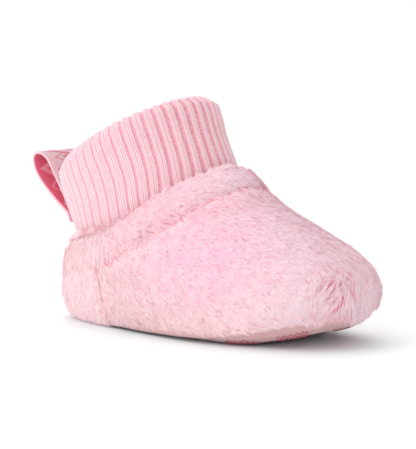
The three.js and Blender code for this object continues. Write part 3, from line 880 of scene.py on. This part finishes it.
def foldedPoint(angle, path, lift):  # path: mm from the top of the fold, down the outside, or inside below 0
    angle = angle + knit["lean"] * np.sin(np.radians(angle)) * smooth(0.55, 1.2, path / cuffDepth(angle))
    radius = cuff["wall"] / 2
    bend = np.clip(path / radius, -math.pi / 2, math.pi / 2)
    drop = radius * (1 - np.cos(bend)) + np.maximum(np.abs(path) - radius * math.pi / 2, 0)
    along = 1 - drop / cuffRise(angle)
    out = radius * (np.sin(bend) - 1) + lift * np.sin(bend)
    atFront = 1 - smooth(60, 110, foldedFrom(angle))
    out += knit["bulge"] * atFront * smooth(14, 2, np.abs(path))
    return cuffPoint(angle, along, out) + times(cuffAxis, lift * np.cos(bend))


def cuffDepth(angle):  # the path's length down to the upper's collar
    return (1 - collarAlong(angle)) * cuffRise(angle)


def ribLift(angle):
    phase = (angle * cuff["ribCount"] / 360 - knit["ribCentre"] + 0.5) % 1 - 0.5
    half = (1 - grooveShare(angle)) / 2
    return smooth(half + 0.12, half - 0.16, np.abs(phase))


def grooveFloor(angle):
    return mix(*knit["floor"], frontShare(angle))


def cuffSkin():
    count = cuff["ribCount"] * knit["perRib"]
    angles = np.arange(count) * 360 / count
    depth = cuffDepth(angles) + cuff["tuck"]
    rib = ribLift(angles)
    lift = rib * cuff["ribDepth"] - 0.28 + (1 - rib) * grooveFloor(angles)
    outside = np.linspace(0, 1, knit["outRows"])
    rows = [foldedPoint(angles, mix(depth, 2.2, share), lift) for share in outside]
    rows += [foldedPoint(angles, np.full(count, path), lift) for path in (1.6, 1, 0.4, -0.4, -1, -1.6)]
    rows += [foldedPoint(angles, mix(-2.2, -depth, share), lift * 0.7)
             for share in np.linspace(0, 1, knit["inRows"])]
    return skinFromRows("ribKnit", rows)


settle(cuffSkin(), [knitBase], ["cuff"])

bead = {"sides": 4, "rings": [(0, 0), (0.28, 1), (0.72, 1), (1, 0)]}  # shares of the length and the girth


def beads(name, angle, start, end, width, height, lift, fall, slots):
    # Small rounded stitches: start and end are (across, path) in mm at each one's angle.
    count = len(angle)
    sides = bead["sides"]
    perDegree = np.linalg.norm(cuffPoint(angle + 0.5, np.full(count, 0.5))
                               - cuffPoint(angle - 0.5, np.full(count, 0.5)), axis=-1)
    run = end - start
    aside = np.stack([run[:, 1], -run[:, 0]], axis=1) / np.linalg.norm(run, axis=1)[:, None]
    verts = []
    for share, girth in bead["rings"]:
        for k in range(sides if girth else 1):
            spin = 2 * math.pi * (k + 0.5) / sides
            place = start + run * share + aside * (width * girth * math.cos(spin))[:, None]
            raised = lift + height * (girth * math.sin(spin) + 0.35 * math.sin(math.pi * share))
            raised = raised - fall * place[:, 0] ** 2
            verts.append(foldedPoint(angle + place[:, 0] / perDegree, place[:, 1], raised))
    points = np.stack(verts, axis=1)
    faces = []
    for k in range(sides):
        j = (k + 1) % sides
        near, far = 1 + k, 1 + sides + k
        nearNext, farNext = 1 + j, 1 + sides + j
        faces += [[0, nearNext, near], [near, nearNext, farNext], [near, farNext, far],
                  [far, farNext, 1 + 2 * sides]]
    faces = np.array(faces)
    corners = (np.arange(count)[:, None, None] * points.shape[1] + faces).ravel()
    sizes = np.full(count * len(faces), 3)
    made = meshFromArrays(name, points.reshape(-1, 3), corners, sizes, np.repeat(slots, len(faces)), yarns)
    settle(made)
    print(name, len(sizes), "triangles")


def knitStitches():
    random = np.random.default_rng(knit["seed"])
    pitch = 360 / cuff["ribCount"]
    legs, bars = [], []
    for rib in range(cuff["ribCount"]):
        ribAngle = (rib + knit["ribCentre"]) * pitch
        rows = np.arange(-2.8, float(cuffDepth(np.array(ribAngle))) + 1, knit["rowHeight"])
        legs.append(np.stack([np.full(len(rows), ribAngle), rows], axis=1))
        bars.append(np.stack([np.full(len(rows), ribAngle + pitch / 2), rows], axis=1))
    legs, bars = np.concatenate(legs), np.concatenate(bars)
    middleRing = np.full(len(legs), 0.5)
    ribMm = np.linalg.norm(cuffPoint(legs[:, 0] + pitch / 2, middleRing)
                           - cuffPoint(legs[:, 0] - pitch / 2, middleRing), axis=-1)
    wale = ribMm * (1 - grooveShare(legs[:, 0])) / 2
    front = frontShare(legs[:, 0])
    starts, ends = [], []
    for waleSide in (-0.5, 0.5):
        for leg in (-1, 1):
            middle = waleSide * wale
            starts.append(np.stack([middle + leg * mix(*knit["legFoot"], front) * wale, legs[:, 1]], axis=1))
            ends.append(np.stack([middle + leg * mix(*knit["legHead"], front) * wale,
                                  legs[:, 1] + 1.7 * knit["rowHeight"]], axis=1))
    starts, ends = np.concatenate(starts), np.concatenate(ends)
    angles, widths = np.tile(legs[:, 0], 4), np.tile(mix(*knit["legWidth"], front) * wale, 4)
    starts += random.normal(0, 0.03, starts.shape)
    slots = random.choice([2, 3, 4], len(angles), p=[0.35, 0.5, 0.15])
    beads("knitWales", angles, starts, ends, widths, knit["stitchHeight"], cuff["ribDepth"] - 0.26,
          knit["ribFall"] / np.tile(wale, 4) ** 2, slots)
    groove = ribMm * grooveShare(bars[:, 0])
    starts, ends = [], []
    for side in (-0.25, 0.25):
        starts.append(np.stack([(side - 0.26) * groove, bars[:, 1]], axis=1))
        ends.append(np.stack([(side + 0.26) * groove, bars[:, 1] + 0.1], axis=1))
    angles = np.tile(bars[:, 0], 2)
    deepShare = knit["deepPurls"] + knit["deepFront"] * frontShare(angles)
    slots = np.where(random.uniform(0, 1, len(angles)) < deepShare, 0, 1)
    widths = np.full(len(angles), knit["barWidth"])
    beads("purlBars", angles, np.concatenate(starts), np.concatenate(ends), widths, knit["barHeight"],
          grooveFloor(angles) - 0.25, 0.0, slots)


knitStitches()
print("cuff")


# The webbing loop.

loop = {"width": 20, "thickness": 1.0, "seat": 0.41, "tail": 3.5, "rise": 21, "back": 12.5, "bulge": 12.5,
        "steps": 30, "across": 16, "zigzags": 5, "standOff": cuff["ribDepth"] + sole["gap"] + 0.55}


def onBack(along, out, y=0.0):
    halfWidth = cuffPoint(np.array(90.0), along, out)[1]
    return cuffPoint(180 - np.degrees(np.arcsin(np.asarray(y, float) / halfWidth)), along, out)


def curvePoints(a, b, c, d, steps):
    t = np.linspace(0, 1, steps + 1)[:, None]
    return (1 - t) ** 3 * a + 3 * (1 - t) ** 2 * t * b + 3 * (1 - t) * t ** 2 * c + t ** 3 * d


def webbingStrip():
    standOff, second = loop["standOff"], loop["standOff"] + 1.1 + sole["gap"]
    tailFoot = loop["seat"] - loop["tail"] / cuff["riseBack"]
    start, end = onBack(loop["seat"], standOff), onBack(loop["seat"], second)

    def away(backwards, upwards):
        return np.array([-backwards, 0, upwards], float)
    crown = start + away(loop["back"], loop["rise"])
    front = curvePoints(start, start + cuffAxis * loop["rise"] * 0.55,
                        crown + away(-loop["bulge"] * 0.45, -loop["rise"] * 0.05), crown, loop["steps"])
    back = curvePoints(crown, crown + away(loop["bulge"] * 0.7, loop["rise"] * 0.06),
                       end + away(loop["back"] * 0.9, loop["rise"] * 0.36), end, loop["steps"])
    share = np.linspace(0, 1, loop["steps"] + 1)[1:]
    tails = np.linspace(0, 1, 5)[:-1]
    path = np.concatenate([[onBack(mix(tailFoot, loop["seat"], t), standOff) for t in tails], [start],
                           front[1:], back[1:], [onBack(mix(loop["seat"], tailFoot, t + 0.25), second)
                                                 for t in tails]])
    hug = np.concatenate([np.ones(5), 1 - smooth(0, 0.6, share), smooth(0.4, 1, share), np.ones(4)])
    rows = []
    for at, hugging in zip(path, hug):
        y = np.linspace(-loop["width"] / 2, loop["width"] / 2, loop["across"] + 1)
        wrap = onBack(loop["seat"], standOff, y) - start
        row = at + wrap * hugging
        row[:, 1] = y
        rows.append(row)
    strip = skinFromRows("webbingLoop", rows, False, False)
    solid = strip.modifiers.new("thickness", "SOLIDIFY")
    solid.thickness = loop["thickness"] * mm
    solid.offset = 0
    solid.material_offset = 1
    solid.material_offset_rim = 2
    edges = strip.modifiers.new("softEdges", "BEVEL")
    edges.width = 0.25 * mm
    edges.segments = 2
    return strip


def webbing(name, ground, figure):
    # Both faces glow faintly in their ground colour: painted light that lifts the loop out of its shade, most of
    # all inside.
    finish = Finish(name, Roughness=0.75, Sheen_Weight=0.3, Emission_Color=ground, Emission_Strength=0.1)
    across, along = finish.uv()
    zigzag = abs((along * loop["zigzags"]).fraction() * 2 - 1)
    boldLine = abs(across - (0.2 + zigzag * 0.6)).under(0.1, 0.015)
    fineLine = abs(across - (0.8 - zigzag * 0.6)).under(0.03, 0.015)
    diamond = (abs((along * loop["zigzags"] + 0.5).fraction() * 2 - 1) * 0.4 + abs(across - 0.5)).under(0.1, 0.02)
    figureShare = boldLine.atLeast(fineLine).atLeast(diamond)
    weft = (along * 2 * math.pi * 150).sine()
    warp = (across * 2 * math.pi * 38).sine()
    fleck = finish.grain(0.4)
    woven = finish.blend(fleck * 0.35, ground, figure)
    finish.paint(finish.blend(figureShare * (0.85 + 0.15 * weft), woven, figure))
    finish.bump(weft * warp * 0.5 + figureShare * 0.8, 0.12)
    return finish


roseInside = webbing("roseWebbing", colour(232, 64, 110), colour(255, 226, 232))
paleOutside = webbing("paleWebbing", colour(238, 202, 210), colour(214, 66, 108))
selvedge = Finish("paleSelvedge", Roughness=0.8, Sheen_Weight=0.3)
selvedge.paint(selvedge.blend(selvedge.grain(0.4), colour(236, 184, 196), colour(246, 208, 216)))
selvedge.bump(selvedge.grain(0.4), 0.1)
settle(webbingStrip(), [paleOutside, roseInside, selvedge], ["pull_loop"])
print("loop")
